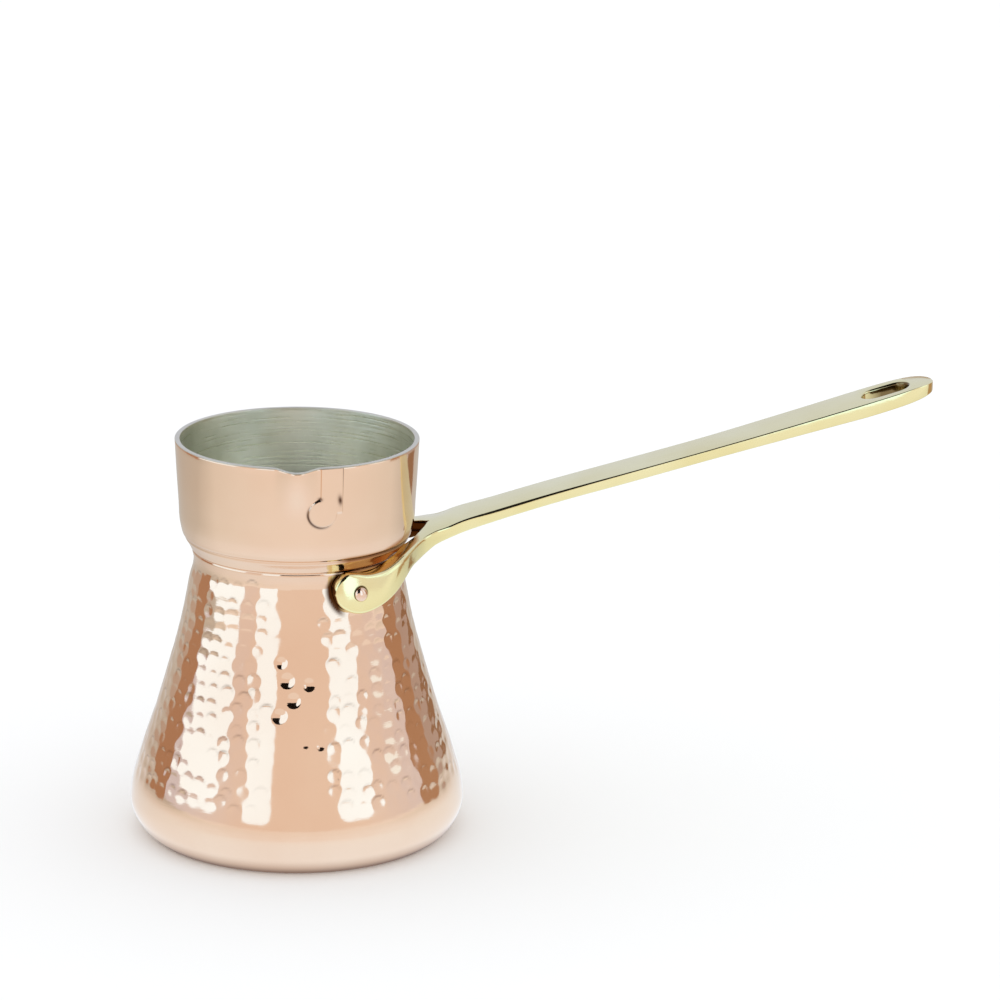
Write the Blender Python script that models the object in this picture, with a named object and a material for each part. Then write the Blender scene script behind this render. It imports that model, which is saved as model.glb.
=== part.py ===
"""A hammered copper coffee pot (cezve) with a tin lining and a riveted brass handle.

The pot stands on z = 0 with its axis on +Z. The handle runs along +X, and its two arms clasp the
neck, one on each side of +X. The pouring lip is pressed out of the rim on the -Y side.
Each sub-part is one closed solid, and solids that would touch are kept FIT_GAP apart.
"""

import math

import bmesh
import bpy
import numpy as np
from mathutils import Matrix, Vector

MM = 0.001

# Pot
HEIGHT = 108.8 * MM
COPPER_WALL = 1.0 * MM
TIN_WALL = 0.35 * MM
FIT_GAP = 0.3 * MM
TURN_STEPS = 64

# Outer wall of the pot as (height, radius) in mm: rounded base edge, cone, neck, collar and rim.
WALL_POINTS = (
    (0.0, 39.6),
    (1.5, 41.6),
    (4.2, 43.6),
    (8.3, 45.0),
    (12.0, 44.75),
    (22.0, 42.2),
    (34.0, 38.15),
    (46.0, 34.6),
    (58.0, 31.35),
    (70.0, 28.95),
    (76.6, 27.75),
    (80.0, 28.8),
    (83.0, 30.5),
    (86.0, 31.25),
    (92.0, 31.65),
    (100.0, 32.15),
    (108.8, 32.6),
)

# Two turned grooves run round the neck just under the collar.
GROOVE_HEIGHTS = (78.8 * MM, 82.6 * MM)
GROOVE_DEPTH = 0.35 * MM
GROOVE_HALF_WIDTH = 0.5 * MM

# Pouring lip, measured along the rim and down from it.
LIP_ANGLE = math.radians(-98.0)
LIP_HALF_WIDTH = 6.6 * MM
LIP_REACH = 2.4 * MM
LIP_DROP = 0.6 * MM
LIP_LENGTH = 15.0 * MM

# Raised drop on the collar beside the lip: an upright strip that ends in a round pad below it.
DROP_ANGLE = math.radians(12.0)
DROP_RADIUS = 3.8 * MM
DROP_BELOW_RIM = 12.4 * MM
DROP_STRIP_SHIFT = 2.4 * MM
DROP_STRIP_HALF_WIDTH = 2.95 * MM
DROP_STRIP_FOOT = 4.4 * MM
DROP_TOP_BELOW_RIM = 1.6 * MM
DROP_HEIGHT = 0.8 * MM

# Handle bar as (x, half width, top z, thickness) in mm, from the fork to the start of its round end.
# It is a flat bar that climbs away from the pot.
BAR_ROWS = (
    (44.0, 7.1, 86.1, 3.4),
    (52.0, 6.85, 88.2, 3.1),
    (68.0, 6.6, 92.4, 2.95),
    (90.0, 6.45, 97.7, 2.95),
    (112.0, 6.45, 103.1, 2.9),
    (134.0, 6.9, 108.9, 3.3),
    (154.6, 7.3, 114.5, 3.9),
)
BAR_END_X = 174.1 * MM
BAR_END_SLOPE = math.tan(math.radians(15.1))
BAR_END_POWER = 2.8
BAR_END_DROP = 0.9 * MM
BAR_END_THINNING = 0.37

# Arms as (inner x, inner y, outer x, outer y, top z, bottom z) in mm, from the crotch to the ear.
ARM_ROWS = (
    (36.0, 0.0, 39.6, 7.5, 84.4, 81.0),
    (34.1, 2.7, 36.4, 8.5, 83.7, 79.8),
    (32.2, 5.4, 33.6, 10.2, 82.9, 78.2),
    (29.8, 8.7, 31.0, 12.9, 82.1, 76.9),
    (26.5, 12.4, 28.9, 15.8, 81.3, 75.9),
)

# Ears as (angle from +X in degrees, outer radius, top z, bottom z) in mm, wrapped on the neck.
EAR_ROWS = (
    (36.0, 32.9, 80.4, 73.9),
    (44.0, 32.8, 79.1, 71.5),
    (52.0, 32.5, 78.0, 69.6),
    (60.0, 32.1, 77.9, 68.2),
    (67.0, 31.8, 78.6, 67.9),
    (72.0, 31.6, 78.8, 68.6),
    (75.5, 31.4, 77.9, 69.8),
    (77.8, 31.3, 76.6, 71.3),
    (78.8, 31.2, 75.3, 73.1),
)
EAR_INNER_RADIUS = 26.8 * MM
EAR_LEAN = 0.16

SLOT_CENTRE_X = 161.2 * MM
SLOT_LENGTH = 12.6 * MM
SLOT_WIDTH = 7.6 * MM

# Rivets: one through each ear, square to the cone under it.
RIVET_ANGLE = math.radians(66.1)
RIVET_HEIGHT = 73.2 * MM
RIVET_TILT = math.radians(9.5)
RIVET_FACE_RADIUS = 32.1 * MM
RIVET_SHANK = 1.25 * MM
RIVET_HEAD_RADIUS = 2.0 * MM
RIVET_HEAD_HEIGHT = 1.0 * MM
RIVET_TAIL_RADIUS = 2.2 * MM
RIVET_TAIL_HEIGHT = 0.7 * MM
RIVET_STEPS = 20

COPPER = ((0.82, 0.44, 0.30), 0.18)
TIN = ((0.60, 0.61, 0.57), 0.35)
BRASS = ((0.80, 0.67, 0.36), 0.22)


def clear_objects():
    for obj in list(bpy.data.objects):
        bpy.data.objects.remove(obj, do_unlink=True)


def metal(name, look):
    colour, roughness = look
    material = bpy.data.materials.new(name)
    material.use_nodes = True
    shader = material.node_tree.nodes["Principled BSDF"]
    shader.inputs["Base Color"].default_value = (*colour, 1.0)
    shader.inputs["Metallic"].default_value = 1.0
    shader.inputs["Roughness"].default_value = roughness
    return material


def add_object(name, mesh, material=None):
    obj = bpy.data.objects.new(name, mesh)
    bpy.context.scene.collection.objects.link(obj)
    if material:
        mesh.materials.append(material)
    return obj


def make_guide(obj):
    """Marks a cutter or a guide, which is no piece of the pot."""
    obj.hide_render = True
    obj.display_type = "WIRE"
    return obj


def finish_mesh(bm, name, smooth=True):
    """Turns a bmesh into a mesh with its faces pointing out."""
    bmesh.ops.recalc_face_normals(bm, faces=bm.faces)
    mesh = bpy.data.meshes.new(name)
    bm.to_mesh(mesh)
    bm.free()
    if smooth:
        mesh.shade_smooth()
        mesh.set_sharp_from_angle(angle=math.radians(35.0))
    return mesh


def add_boolean(obj, cutter, operation="DIFFERENCE"):
    modifier = obj.modifiers.new(operation.title() + " " + cutter.name, "BOOLEAN")
    modifier.operation = operation
    modifier.object = cutter
    modifier.solver = "EXACT"


def wall_radius(height):
    """Radius of the smooth outer wall: a cubic through WALL_POINTS with matching slopes."""
    levels = np.array([point[0] for point in WALL_POINTS]) * MM
    radii = np.array([point[1] for point in WALL_POINTS]) * MM
    slopes = np.gradient(radii, levels)
    span = int(np.clip(np.searchsorted(levels, height) - 1, 0, len(levels) - 2))
    width = levels[span + 1] - levels[span]
    t = (height - levels[span]) / width
    blend = (1 + 2 * t) * (1 - t) ** 2, t * (1 - t) ** 2, t * t * (3 - 2 * t), t * t * (t - 1)
    start = radii[span] * blend[0] + slopes[span] * width * blend[1]
    end = radii[span + 1] * blend[2] + slopes[span + 1] * width * blend[3]
    return float(start + end)


def wall_outline(heights, offset=0.0, grooved=False):
    """Points of the wall at these heights, moved inwards by offset, square to the wall."""
    points = []
    for height in heights:
        step = 0.05 * MM
        low = max(height - step, 0.0)
        high = min(height + step, HEIGHT)
        slope = (wall_radius(high) - wall_radius(low)) / (high - low)
        length = math.hypot(1.0, slope)
        radius = wall_radius(height)
        if grooved:
            for groove in GROOVE_HEIGHTS:
                across = (height - groove) / GROOVE_HALF_WIDTH
                radius -= GROOVE_DEPTH * math.exp(-2.0 * across * across)
        points.append((radius - offset / length, height + offset * slope / length))
    return points


def inner_outline(offset, top):
    """Outline of an inner surface at this distance from the outer one, from the rim to the axis."""
    heights = np.concatenate(
        (
            np.linspace(5.0 * MM, 70.0 * MM, 6),
            np.linspace(76.6 * MM, 86.0 * MM, 4),
            np.linspace(91.0 * MM, HEIGHT, 5),
        )
    )
    points = wall_outline(heights, offset)
    points[-1] = (points[-1][0], top)
    corner_radius = WALL_POINTS[0][1] * MM - offset
    floor = [(0.0, offset), (corner_radius - 0.5 * MM, offset), (corner_radius + 2.2 * MM, offset + 1.4 * MM)]
    return list(reversed(floor + points))


def revolve(outline):
    """Closed solid turned from an outline of (radius, height) whose two ends lie on the axis."""
    bm = bmesh.new()
    verts = [bm.verts.new((radius, 0.0, height)) for radius, height in outline]
    edges = [bm.edges.new(pair) for pair in zip(verts, verts[1:])]
    bmesh.ops.spin(
        bm,
        geom=verts + edges,
        cent=(0.0, 0.0, 0.0),
        axis=(0.0, 0.0, 1.0),
        angle=math.tau,
        steps=TURN_STEPS,
        use_duplicate=False,
    )
    bmesh.ops.remove_doubles(bm, verts=bm.verts, dist=0.001 * MM)
    bmesh.ops.rotate(bm, cent=(0.0, 0.0, 0.0), matrix=Matrix.Rotation(LIP_ANGLE, 3, "Z"), verts=bm.verts)
    return bm


def press_lip(bm):
    """Presses the rim outwards and slightly down at the lip, fading round the rim and down the wall."""
    for vert in bm.verts:
        radius = math.hypot(vert.co.x, vert.co.y)
        if radius < 20.0 * MM:
            continue
        turn = math.remainder(math.atan2(vert.co.y, vert.co.x) - LIP_ANGLE, math.tau)
        across = abs(turn * radius) / LIP_HALF_WIDTH
        down = (HEIGHT - vert.co.z) / LIP_LENGTH
        if across >= 1.0 or down >= 1.0:
            continue
        bulge = math.cos(across * math.pi / 2) ** 2 * math.cos(down * math.pi / 2) ** 2
        vert.co.x += LIP_REACH * bulge * vert.co.x / radius
        vert.co.y += LIP_REACH * bulge * vert.co.y / radius
        vert.co.z -= LIP_DROP * bulge


def drop_outline():
    """Outline of the drop as (distance round the collar, height): a round pad with a strip above it."""
    pad_height = HEIGHT - DROP_BELOW_RIM
    points = []
    for step in range(13):
        angle = math.radians(140.0 + 240.0 * step / 12)
        points.append((DROP_RADIUS * math.cos(angle), pad_height + DROP_RADIUS * math.sin(angle)))
    foot = pad_height + DROP_STRIP_FOOT
    top = HEIGHT - DROP_TOP_BELOW_RIM
    right = DROP_STRIP_SHIFT + DROP_STRIP_HALF_WIDTH
    left = DROP_STRIP_SHIFT - DROP_STRIP_HALF_WIDTH
    return points + [(right, foot), (right, top), (left, top), (left, foot)]


def make_drop():
    """Solid of the raised drop: its outline wrapped round the collar, sunk half way into the wall."""
    bm = bmesh.new()
    rings = []
    for depth in (-0.5 * COPPER_WALL, DROP_HEIGHT):
        ring = []
        for along, height in drop_outline():
            radius = wall_radius(height) + depth
            angle = LIP_ANGLE + DROP_ANGLE + along / wall_radius(height)
            ring.append(bm.verts.new((radius * math.cos(angle), radius * math.sin(angle), height)))
        rings.append(ring)
    count = len(rings[0])
    for index in range(count):
        after = (index + 1) % count
        bm.faces.new((rings[0][index], rings[0][after], rings[1][after], rings[1][index]))
    bm.faces.new(reversed(rings[0]))
    bm.faces.new(rings[1])
    return make_guide(add_object("drop_guide", finish_mesh(bm, "drop_guide")))


def rivet_matrix(side):
    """Frame of one rivet: its origin on the ear's outer face and its +Z square to the ear."""
    angle = side * RIVET_ANGLE
    outward = Vector(
        (
            math.cos(angle) * math.cos(RIVET_TILT),
            math.sin(angle) * math.cos(RIVET_TILT),
            math.sin(RIVET_TILT),
        )
    )
    place = Vector((RIVET_FACE_RADIUS * math.cos(angle), RIVET_FACE_RADIUS * math.sin(angle), RIVET_HEIGHT))
    return Matrix.Translation(place) @ outward.to_track_quat("Z", "Y").to_matrix().to_4x4()


def make_rivet_hole(side, name):
    """Cutter for one rivet's hole through ear, copper and tin."""
    bm = bmesh.new()
    bmesh.ops.create_cone(
        bm,
        cap_ends=True,
        segments=RIVET_STEPS,
        radius1=RIVET_SHANK + FIT_GAP,
        radius2=RIVET_SHANK + FIT_GAP,
        depth=16.0 * MM,
    )
    hole = make_guide(add_object(name, finish_mesh(bm, name)))
    hole.matrix_world = rivet_matrix(side)
    return hole


def make_pot_body(holes):
    """Copper shell: flat floor, cone, grooved neck, collar and rim, with the lip and the drop."""
    top = HEIGHT - TIN_WALL - FIT_GAP
    shifts = (-GROOVE_HALF_WIDTH, 0.0, GROOVE_HALF_WIDTH)
    grooves = [height + shift for height in GROOVE_HEIGHTS for shift in shifts]
    heights = (
        [point[0] * MM for point in WALL_POINTS if point[0] <= 76.6]
        + grooves
        + [81.1 * MM, 85.0 * MM, 88.0 * MM]
        + list(np.linspace(93.0 * MM, top, 4))
    )
    outline = [(0.0, 0.0)] + wall_outline(sorted(heights), grooved=True)
    bm = revolve(outline + inner_outline(COPPER_WALL, top))
    press_lip(bm)
    body = add_object("pot_body", finish_mesh(bm, "pot_body"), metal("hammered copper", COPPER))
    add_boolean(body, make_drop(), "UNION")
    for hole in holes:
        add_boolean(body, hole)
    return body


def make_tin_lining(holes):
    """Tin lining: a thin shell inside the copper that turns over the top of the rim."""
    under_rim = HEIGHT - TIN_WALL
    outside = list(reversed(inner_outline(COPPER_WALL + FIT_GAP, under_rim)))
    rim = [(wall_radius(HEIGHT), under_rim), (wall_radius(HEIGHT), HEIGHT)]
    inside = inner_outline(COPPER_WALL + FIT_GAP + TIN_WALL, HEIGHT)
    bm = revolve(outside + rim + inside)
    press_lip(bm)
    lining = add_object("tin_lining", finish_mesh(bm, "tin_lining"), metal("tin", TIN))
    for hole in holes:
        add_boolean(lining, hole)
    return lining


def make_pot_clearance():
    """Solid of the pot's outside plus the fit gap, which the handle's ears are fitted round."""
    heights = np.concatenate((np.linspace(60.0 * MM, 76.0 * MM, 5), np.linspace(77.5 * MM, 90.0 * MM, 10)))
    outline = wall_outline(heights, -FIT_GAP)
    bm = revolve([(0.0, outline[0][1])] + outline + [(0.0, outline[-1][1])])
    return make_guide(add_object("clearance_guide", finish_mesh(bm, "clearance_guide")))


def bar_station(x, half_width, top, thickness):
    """Corners of one cross-section of the bar's +Y half: top and bottom, at the middle and the side."""
    return ((x, 0.0, top), (x, half_width, top), (x, half_width, top - thickness), (x, 0.0, top - thickness))


def handle_stations():
    """Cross-sections of the +Y half of the handle, from the tip to the ear."""
    stations = []
    start_x, half_width, start_top, thickness = (value * MM for value in BAR_ROWS[-1])
    for turn in (89.0, 75.0, 60.0, 45.0, 30.0, 15.0):
        share = math.sin(math.radians(turn)) ** (2 / BAR_END_POWER)
        along = (BAR_END_X - start_x) * share
        across = math.cos(math.radians(turn)) ** (2 / BAR_END_POWER)
        rounding = share**6
        thinned = thickness * (1.0 - BAR_END_THINNING * rounding)
        top = start_top + BAR_END_SLOPE * along - BAR_END_DROP * rounding
        stations.append(bar_station(start_x + along, half_width * across, top, thinned))
    for row in reversed(BAR_ROWS):
        stations.append(bar_station(*(value * MM for value in row)))
    for inner_x, inner_y, outer_x, outer_y, top, bottom in ARM_ROWS:
        corners = (
            (inner_x, inner_y, top),
            (outer_x, outer_y, top),
            (outer_x, outer_y, bottom),
            (inner_x, inner_y, bottom),
        )
        stations.append(tuple(tuple(value * MM for value in corner) for corner in corners))
    for degrees, radius, top, bottom in EAR_ROWS:
        angle = math.radians(degrees)
        direction = Vector((math.cos(angle), math.sin(angle), 0.0))
        lean = EAR_LEAN * min(max((degrees - 36.0) / 16.0, 0.0), 1.0) * (top - bottom) / 2
        inner = direction * EAR_INNER_RADIUS
        high = Vector((0.0, 0.0, top * MM))
        low = Vector((0.0, 0.0, bottom * MM))
        stations.append(
            (
                inner + high,
                direction * (radius - lean) * MM + high,
                direction * (radius + lean) * MM + low,
                inner + low,
            )
        )
    return stations


def make_handle(holes, clearance):
    """Brass casting: bar, fork and two ears, made as one half and mirrored across y = 0."""
    bm = bmesh.new()
    rings = [[bm.verts.new(corner) for corner in station] for station in handle_stations()]
    fork = len(rings) - len(EAR_ROWS) - len(ARM_ROWS)
    for index, (ring, after) in enumerate(zip(rings, rings[1:])):
        for side in range(3):
            bm.faces.new((ring[side], ring[side + 1], after[side + 1], after[side]))
        if index >= fork:
            bm.faces.new((ring[3], ring[0], after[0], after[3]))
    bm.faces.new(rings[0])
    bm.faces.new(reversed(rings[-1]))
    handle = add_object("handle", finish_mesh(bm, "handle", smooth=False), metal("cast brass", BRASS))
    mirror = handle.modifiers.new("Mirror", "MIRROR")
    mirror.use_axis = (False, True, False)
    mirror.use_clip = True
    mirror.merge_threshold = 0.02 * MM
    add_boolean(handle, clearance)
    add_boolean(handle, make_hanging_slot())
    for hole in holes:
        add_boolean(handle, hole)
    return handle


def make_hanging_slot():
    """Cutter for the slot with round ends near the tip of the bar."""
    bm = bmesh.new()
    straight = (SLOT_LENGTH - SLOT_WIDTH) / 2
    ring = []
    for end in (1, -1):
        for step in range(9):
            angle = math.radians(-90.0 + 180.0 * step / 8)
            x = SLOT_CENTRE_X + end * (straight + SLOT_WIDTH / 2 * math.cos(angle))
            ring.append(bm.verts.new((x, end * SLOT_WIDTH / 2 * math.sin(angle), 0.09)))
    face = bm.faces.new(ring)
    extruded = bmesh.ops.extrude_face_region(bm, geom=[face])
    raised = [item for item in extruded["geom"] if isinstance(item, bmesh.types.BMVert)]
    bmesh.ops.translate(bm, vec=(0.0, 0.0, 0.05), verts=raised)
    return make_guide(add_object("slot_guide", finish_mesh(bm, "slot_guide")))


def make_rivets():
    """Two copper rivets: domed head outside the ear, shank, and a flat tail inside the lining."""
    grip = RIVET_FACE_RADIUS * math.cos(RIVET_TILT) - wall_radius(RIVET_HEIGHT)
    tail_top = -(grip + COPPER_WALL + 2 * FIT_GAP + TIN_WALL + 0.35 * MM)
    outline = [(0.0, RIVET_HEAD_HEIGHT + FIT_GAP)]
    for step in range(1, 6):
        angle = math.radians(18.0 * step)
        outline.append((RIVET_HEAD_RADIUS * math.sin(angle), FIT_GAP + RIVET_HEAD_HEIGHT * math.cos(angle)))
    outline += [
        (RIVET_SHANK, FIT_GAP),
        (RIVET_SHANK, tail_top),
        (RIVET_TAIL_RADIUS, tail_top),
        (RIVET_TAIL_RADIUS * 0.8, tail_top - RIVET_TAIL_HEIGHT),
        (0.0, tail_top - RIVET_TAIL_HEIGHT),
    ]
    bm = bmesh.new()
    verts = [bm.verts.new((radius, 0.0, height)) for radius, height in outline]
    edges = [bm.edges.new(pair) for pair in zip(verts, verts[1:])]
    bmesh.ops.spin(
        bm,
        geom=verts + edges,
        cent=(0.0, 0.0, 0.0),
        axis=(0.0, 0.0, 1.0),
        angle=math.tau,
        steps=RIVET_STEPS,
        use_duplicate=False,
    )
    bmesh.ops.remove_doubles(bm, verts=bm.verts, dist=0.001 * MM)
    mesh = finish_mesh(bm, "rivet")
    mesh.materials.append(metal("rivet copper", COPPER))
    for name, side in (("rivet_front", -1), ("rivet_back", 1)):
        rivet = add_object(name, mesh)
        rivet.matrix_world = rivet_matrix(side)


def main():
    clear_objects()
    holes = [make_rivet_hole(-1, "hole_guide_front"), make_rivet_hole(1, "hole_guide_back")]
    make_pot_body(holes)
    make_tin_lining(holes)
    make_handle(holes, make_pot_clearance())
    make_rivets()


main()
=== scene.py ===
import math

import bpy
import numpy as np
from mathutils import Matrix, Vector


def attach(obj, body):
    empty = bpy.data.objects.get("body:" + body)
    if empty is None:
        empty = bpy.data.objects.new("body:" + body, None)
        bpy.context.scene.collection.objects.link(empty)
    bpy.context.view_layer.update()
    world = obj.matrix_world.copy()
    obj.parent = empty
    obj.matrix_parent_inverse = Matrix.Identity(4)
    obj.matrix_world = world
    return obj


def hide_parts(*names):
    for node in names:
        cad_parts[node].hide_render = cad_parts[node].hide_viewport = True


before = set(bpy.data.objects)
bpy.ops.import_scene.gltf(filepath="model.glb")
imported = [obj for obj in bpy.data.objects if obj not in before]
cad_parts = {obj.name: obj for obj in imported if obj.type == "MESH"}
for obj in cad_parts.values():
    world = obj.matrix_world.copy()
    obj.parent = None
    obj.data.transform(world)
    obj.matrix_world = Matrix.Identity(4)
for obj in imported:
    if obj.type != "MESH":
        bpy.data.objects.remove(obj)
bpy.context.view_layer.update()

# ---------------------------------------------------------------------------------------------
# Camera and studio.
# The pot stands on a wide white table. Tall softboxes and grey cards stand in a ring round it and
# show only as reflections, so the table stays plain from every side.

MM = 0.001
scene = bpy.context.scene
scene.view_settings.view_transform = "Standard"

camera_data = bpy.data.cameras.new("camera")
camera_data.sensor_width = 36.0
camera_data.lens = 175.69
camera = bpy.data.objects.new("camera", camera_data)
scene.collection.objects.link(camera)
camera.location = (-175.0 * MM, -1245.0 * MM, 443.0 * MM)
camera.rotation_euler = (math.radians(74.3907), math.radians(-0.6742), math.radians(-10.2842))
scene.camera = camera


def start_material(name):
    """A new material with its nodes emptied, and its node tree."""
    material = bpy.data.materials.new(name)
    material.use_nodes = True
    material.node_tree.nodes.clear()
    return material, material.node_tree


def add_node(tree, kind, **values):
    """One node of this kind; values name its properties."""
    node = tree.nodes.new(kind)
    for key, value in values.items():
        setattr(node, key, value)
    return node


def bent_grid(name, columns, rows):
    """A flat grid, selected alone, with each point's place across and along it from 0 to 1."""
    bpy.ops.object.select_all(action="DESELECT")
    bpy.ops.mesh.primitive_grid_add(x_subdivisions=columns, y_subdivisions=rows, size=2.0)
    piece = bpy.context.object
    piece.name = name
    flat = np.empty(len(piece.data.vertices) * 3)
    piece.data.vertices.foreach_get("co", flat)
    flat = flat.reshape(-1, 3)
    return piece, (flat[:, 0] + 1.0) / 2.0, (flat[:, 1] + 1.0) / 2.0


def place_points(piece, points):
    """Moves every point of a piece to its place."""
    piece.data.vertices.foreach_set("co", np.ascontiguousarray(points, float).ravel())
    piece.data.update()


# Input and output places of a colour Mix node.
MIX_A, MIX_B, MIX_RESULT = 6, 7, 2
TABLE_SIZE = 40.0
MIRRORED_REACH = 0.30

# The table is matt white to the camera. Polished metal sees it shaded from front to back, and
# round the foot of the pot.
bpy.ops.object.select_all(action="DESELECT")
bpy.ops.mesh.primitive_plane_add(size=TABLE_SIZE, location=(0.0, 0.0, 0.0))
table = bpy.context.object
table.name = "table"
table_white, tree = start_material("table_white")
surface = add_node(tree, "ShaderNodeOutputMaterial")
matt = add_node(tree, "ShaderNodeBsdfDiffuse")
matt.inputs["Color"].default_value = (0.912, 0.922, 0.932, 1.0)
mirrored = add_node(tree, "ShaderNodeEmission")
where = add_node(tree, "ShaderNodeTexCoord")
axes = add_node(tree, "ShaderNodeSeparateXYZ")
tree.links.new(where.outputs["Object"], axes.inputs[0])
depth = add_node(tree, "ShaderNodeMapRange")
depth.inputs["From Min"].default_value = -MIRRORED_REACH
depth.inputs["From Max"].default_value = MIRRORED_REACH
tree.links.new(axes.outputs["Y"], depth.inputs["Value"])
shade = add_node(tree, "ShaderNodeValToRGB")
shade.color_ramp.elements[0].position = 0.0
shade.color_ramp.elements[0].color = (1.04, 1.02, 1.04, 1.0)
shade.color_ramp.elements[1].position = 1.0
shade.color_ramp.elements[1].color = (0.62, 0.62, 0.61, 1.0)
shade.color_ramp.elements.new(0.5).color = (0.90, 0.90, 0.90, 1.0)
shade.color_ramp.elements.new(0.72).color = (0.68, 0.68, 0.67, 1.0)
tree.links.new(depth.outputs["Result"], shade.inputs["Fac"])
far = add_node(tree, "ShaderNodeVectorMath", operation="LENGTH")
tree.links.new(where.outputs["Object"], far.inputs[0])
reach = add_node(tree, "ShaderNodeMapRange")
reach.inputs["From Max"].default_value = MIRRORED_REACH
tree.links.new(far.outputs["Value"], reach.inputs["Value"])
near_pot = add_node(tree, "ShaderNodeValToRGB")
near_pot.color_ramp.elements[0].position = 0.131
near_pot.color_ramp.elements[0].color = (0.20, 0.14, 0.12, 1.0)
near_pot.color_ramp.elements[1].position = 1.0
near_pot.color_ramp.elements[1].color = (0.93, 0.90, 0.86, 1.0)
for position, colour in (
    (0.139, (0.70, 0.66, 0.66)),
    (0.150, (1.08, 1.16, 1.26)),
    (0.33, (1.06, 1.12, 1.18)),
    (0.50, (1.02, 1.01, 1.02)),
    (0.70, (0.97, 0.95, 0.93)),
):
    near_pot.color_ramp.elements.new(position).color = (*colour, 1.0)
tree.links.new(reach.outputs["Result"], near_pot.inputs["Fac"])
both = add_node(tree, "ShaderNodeMix", data_type="RGBA", blend_type="MULTIPLY")
both.inputs["Factor"].default_value = 1.0
tree.links.new(shade.outputs["Color"], both.inputs[MIX_A])
tree.links.new(near_pot.outputs["Color"], both.inputs[MIX_B])
tree.links.new(both.outputs[MIX_RESULT], mirrored.inputs["Color"])
path = add_node(tree, "ShaderNodeLightPath")
choice = add_node(tree, "ShaderNodeMixShader")
tree.links.new(path.outputs["Is Glossy Ray"], choice.inputs["Fac"])
tree.links.new(matt.outputs["BSDF"], choice.inputs[1])
tree.links.new(mirrored.outputs["Emission"], choice.inputs[2])
tree.links.new(choice.outputs["Shader"], surface.inputs["Surface"])
table.data.materials.append(table_white)

# Softboxes and cards: azimuth from and to in degrees (0 is the front, 90 the handle's side),
# bottom and top in mm, and the light they send back. A softbox's lower corners are rounded up.
CARD_DISTANCE = 450.0
CORNER_RISE = 36.0
SOFTBOX = (1.14, 1.40, 1.66)
CARDS = (
    ("softbox_far_left", -109.0, -64.5, 58.0, 520.0, SOFTBOX),
    ("softbox_near_left", -45.8, -26.2, 52.0, 520.0, SOFTBOX),
    ("softbox_near_right", 21.2, 46.6, 60.0, 520.0, SOFTBOX),
    ("softbox_far_right", 63.0, 80.3, 112.0, 520.0, (1.05, 1.2, 1.3)),
    ("dark_card_left", -131.0, -109.0, 0.0, 300.0, (0.46, 0.27, 0.17)),
    ("grey_card_left", -165.0, -131.0, 0.0, 300.0, (0.54, 0.44, 0.38)),
    ("dark_card_right", 86.5, 107.0, 0.0, 300.0, (0.48, 0.29, 0.18)),
    ("grey_card_right", 107.0, 150.0, 0.0, 200.0, (0.50, 0.40, 0.36)),
)


def place_round_pot(piece, distance, turn, height):
    """Puts the points at these distances, angles from the front and heights, in mm."""
    place_points(
        piece, np.stack((distance * np.sin(turn), -distance * np.cos(turn), height), axis=1) * MM
    )


def glow_in_reflections(piece, light):
    """A plain glow that only polished metal sees: it isn't in view and lights nothing else."""
    glow, tree = start_material(piece.name)
    surface = add_node(tree, "ShaderNodeOutputMaterial")
    lamp = add_node(tree, "ShaderNodeEmission")
    lamp.inputs["Color"].default_value = (*light, 1.0)
    tree.links.new(lamp.outputs["Emission"], surface.inputs["Surface"])
    piece.data.materials.append(glow)
    piece.visible_camera = False
    piece.visible_diffuse = False
    piece.visible_shadow = False
    piece.visible_transmission = False
    piece.visible_volume_scatter = False


for name, azimuth_from, azimuth_to, bottom, top, light in CARDS:
    card, across, up = bent_grid(name, 24, 2)
    turn = np.radians(azimuth_from + (azimuth_to - azimuth_from) * across)
    corner_rise = CORNER_RISE if bottom > 0.0 else 0.0
    corner = corner_rise * np.abs(2.0 * across - 1.0) ** 5 * (1.0 - up)
    place_round_pot(card, CARD_DISTANCE, turn, bottom + corner + (top - bottom) * up)
    glow_in_reflections(card, light)

# A low flag lies on the table behind the handle. Mostly the collar, which leans outwards, sees
# it, as a dark band beside the handle.
FLAG_FROM, FLAG_TO = 117.5, 134.0
FLAG_NEAR, FLAG_DEPTH = 235.0, 200.0
flag, across, up = bent_grid("low_flag_dark", 12, 2)
turn = np.radians(FLAG_FROM + (FLAG_TO - FLAG_FROM) * across)
place_round_pot(flag, FLAG_NEAR + FLAG_DEPTH * up, turn, np.ones(len(up)))
glow_in_reflections(flag, (0.33, 0.19, 0.11))

# A black canopy hangs above the camera and over the pot. It draws the dark line on the handle's
# edges and the black half-moons in the deepest hammer marks.
CANOPY_DISTANCE = 900.0
CANOPY_HALF_WIDTH = 350.0
CANOPY_AZIMUTH = math.radians(-6.0)
CANOPY_CENTRE_HEIGHT = 50.0
CANOPY_FROM, CANOPY_TO = 23.5, 118.0
canopy, across, up = bent_grid("black_canopy", 4, 24)
turn = np.radians(CANOPY_FROM + (CANOPY_TO - CANOPY_FROM) * up)
sideways = (2.0 * across - 1.0) * CANOPY_HALF_WIDTH
forward = CANOPY_DISTANCE * np.cos(turn)
place_points(
    canopy,
    np.stack(
        (
            forward * math.sin(CANOPY_AZIMUTH) + sideways * math.cos(CANOPY_AZIMUTH),
            -forward * math.cos(CANOPY_AZIMUTH) + sideways * math.sin(CANOPY_AZIMUTH),
            CANOPY_CENTRE_HEIGHT + CANOPY_DISTANCE * np.sin(turn),
        ),
        axis=1,
    )
    * MM,
)
glow_in_reflections(canopy, (0.006, 0.004, 0.003))

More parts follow.
